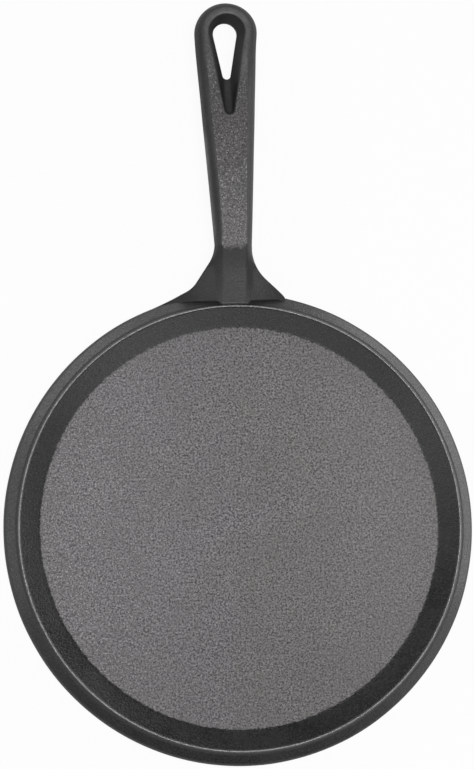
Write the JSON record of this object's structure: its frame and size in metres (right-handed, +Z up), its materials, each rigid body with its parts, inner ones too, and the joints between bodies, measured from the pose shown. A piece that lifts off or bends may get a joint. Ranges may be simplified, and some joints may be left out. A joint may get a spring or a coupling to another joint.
{
  "type": "comal",
  "caption": "Round cast-iron comal: a flat pebbled cooking floor inside a low sloped wall, with one long handle that ends in a teardrop hanging hole.",
  "frame": {"origin": "centre of the round pan, on the plane of its flat base", "axes": "+Z up out of the cooking floor, +Y along the handle away from the pan, +X to the right of the handle"},
  "size_m": [0.267, 0.4346, 0.0211],
  "materials": {
    "cooking_face_iron": "pebbled matt seasoned iron",
    "smooth_iron": "smooth satin seasoned iron",
    "handle_iron": "fine-grained matt seasoned iron"
  },
  "bodies": {
    "root": {"cooking_floor": "cooking_face_iron", "sloped_wall": "smooth_iron", "rim": "smooth_iron", "root_rib": "smooth_iron", "left_web": "smooth_iron", "right_web": "smooth_iron", "handle_grip": "handle_iron", "hanging_loop": "handle_iron"}
  },
  "joints": []
}
